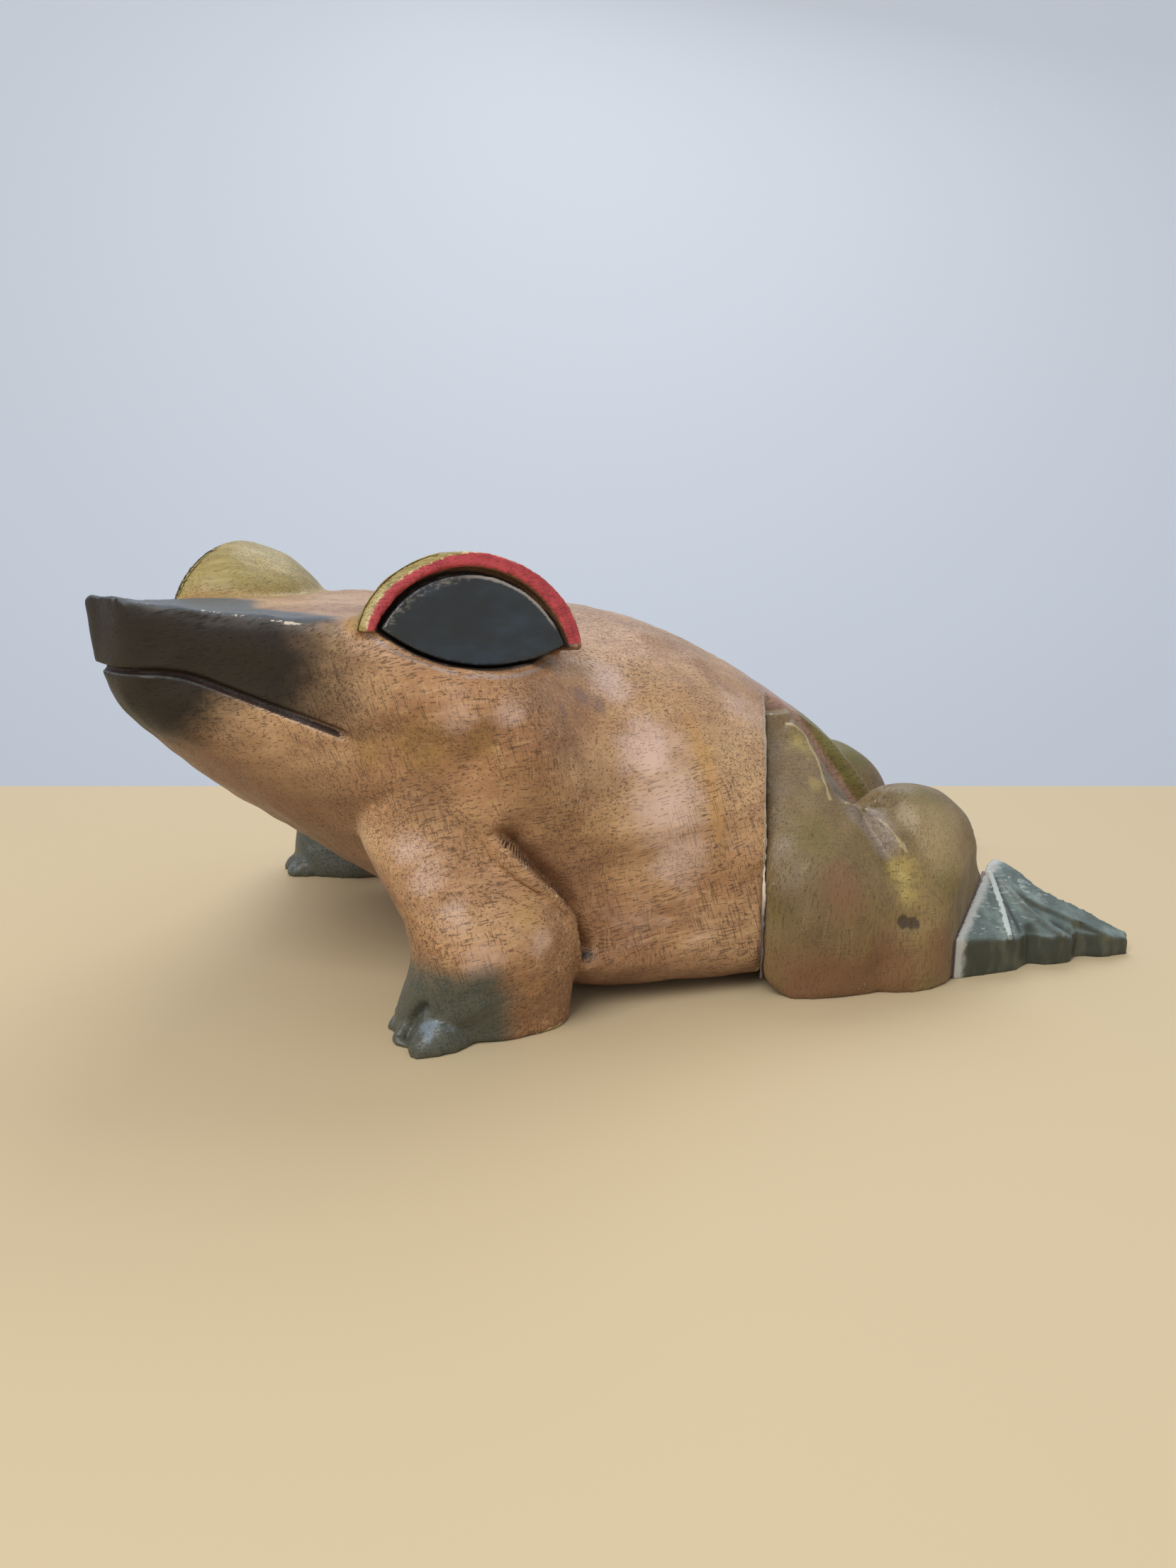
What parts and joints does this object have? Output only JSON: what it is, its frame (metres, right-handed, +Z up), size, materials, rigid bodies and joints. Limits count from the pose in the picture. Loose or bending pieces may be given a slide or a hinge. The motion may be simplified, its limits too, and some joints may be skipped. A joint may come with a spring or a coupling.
{
  "type": "carved wooden frog figurine",
  "caption": "Solid carved and stained wooden frog that rests on its forelegs, hind legs and webbed feet, with its head turned to its left and inlaid almond eyes.",
  "frame": {"origin": "middle of the frog's bounding box, on the surface that it rests on", "axes": "-X toward the snout, +X toward the hind feet, -Y to the frog's left, +Z up"},
  "size_m": [0.3232, 0.1962, 0.1284],
  "materials": {
    "body_wood": "orange-brown stain under satin varnish, airbrushed black at the snout and the toes",
    "leg_wood": "olive-brown stain under satin varnish",
    "foot_wood": "dark green-grey stain under satin varnish",
    "eye_inlay": "blue-black painted, satin",
    "dowel_wood": "bare"
  },
  "bodies": {
    "root": {"body_block": "body_wood", "left_eye": "eye_inlay", "right_eye": "eye_inlay", "left_hind_leg": "leg_wood", "right_hind_leg": "leg_wood", "left_hind_foot": "foot_wood", "right_hind_foot": "foot_wood", "left_hip_dowels": "dowel_wood", "right_hip_dowels": "dowel_wood", "left_foot_dowel": "dowel_wood", "right_foot_dowel": "dowel_wood"}
  },
  "joints": []
}
